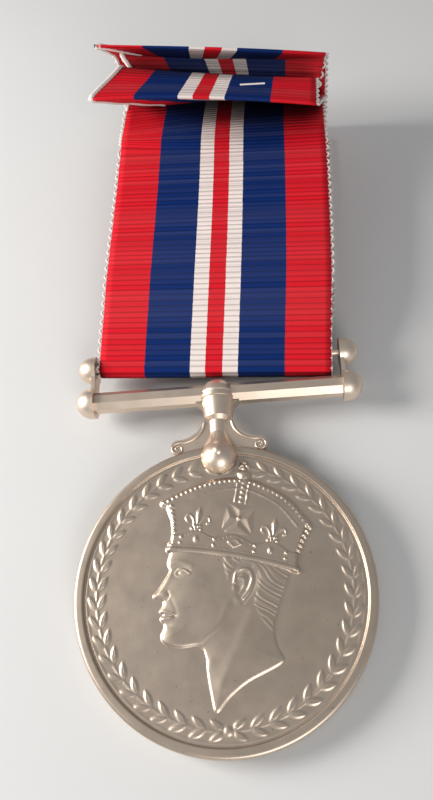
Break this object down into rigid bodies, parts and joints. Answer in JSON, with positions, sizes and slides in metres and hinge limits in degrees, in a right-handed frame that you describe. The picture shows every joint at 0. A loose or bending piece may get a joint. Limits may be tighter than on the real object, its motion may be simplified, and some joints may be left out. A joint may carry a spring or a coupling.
{
  "type": "service medal with ribbon",
  "caption": "Round struck service medal on a fixed straight-bar suspender with scrolls and end knobs, hung on a striped ribbon looped round the upper rod and folded at its top.",
  "frame": {"origin": "centre of the disc's reverse field", "axes": "+Z out of the obverse, +Y from the disc's centre towards the suspender and ribbon, +X along the suspender's bars"},
  "size_m": [0.0393, 0.1015, 0.023],
  "materials": {
    "cupro_nickel": "satin, lightly toned",
    "ribbon_cloth": "ribbed woven",
    "white_thread": "matt"
  },
  "bodies": {
    "medal": {"medal_disc": "cupro_nickel", "suspender_claw": "cupro_nickel", "claw_pin": "cupro_nickel", "scroll_plate": "cupro_nickel", "suspender_bar": "cupro_nickel", "ribbon_rod": "cupro_nickel", "left_end_knob": "cupro_nickel", "right_end_knob": "cupro_nickel"},
    "ribbon": {"ribbon": "ribbon_cloth", "fold_stitch": "white_thread"}
  },
  "joints": [
    {"name": "ribbon_swing", "type": "hinge", "parent": "medal", "child": "ribbon", "pos_m": [0, 0.03105, 0.001], "axis": [1, 0, 0], "range_deg": [-130, 125]}
  ]
}
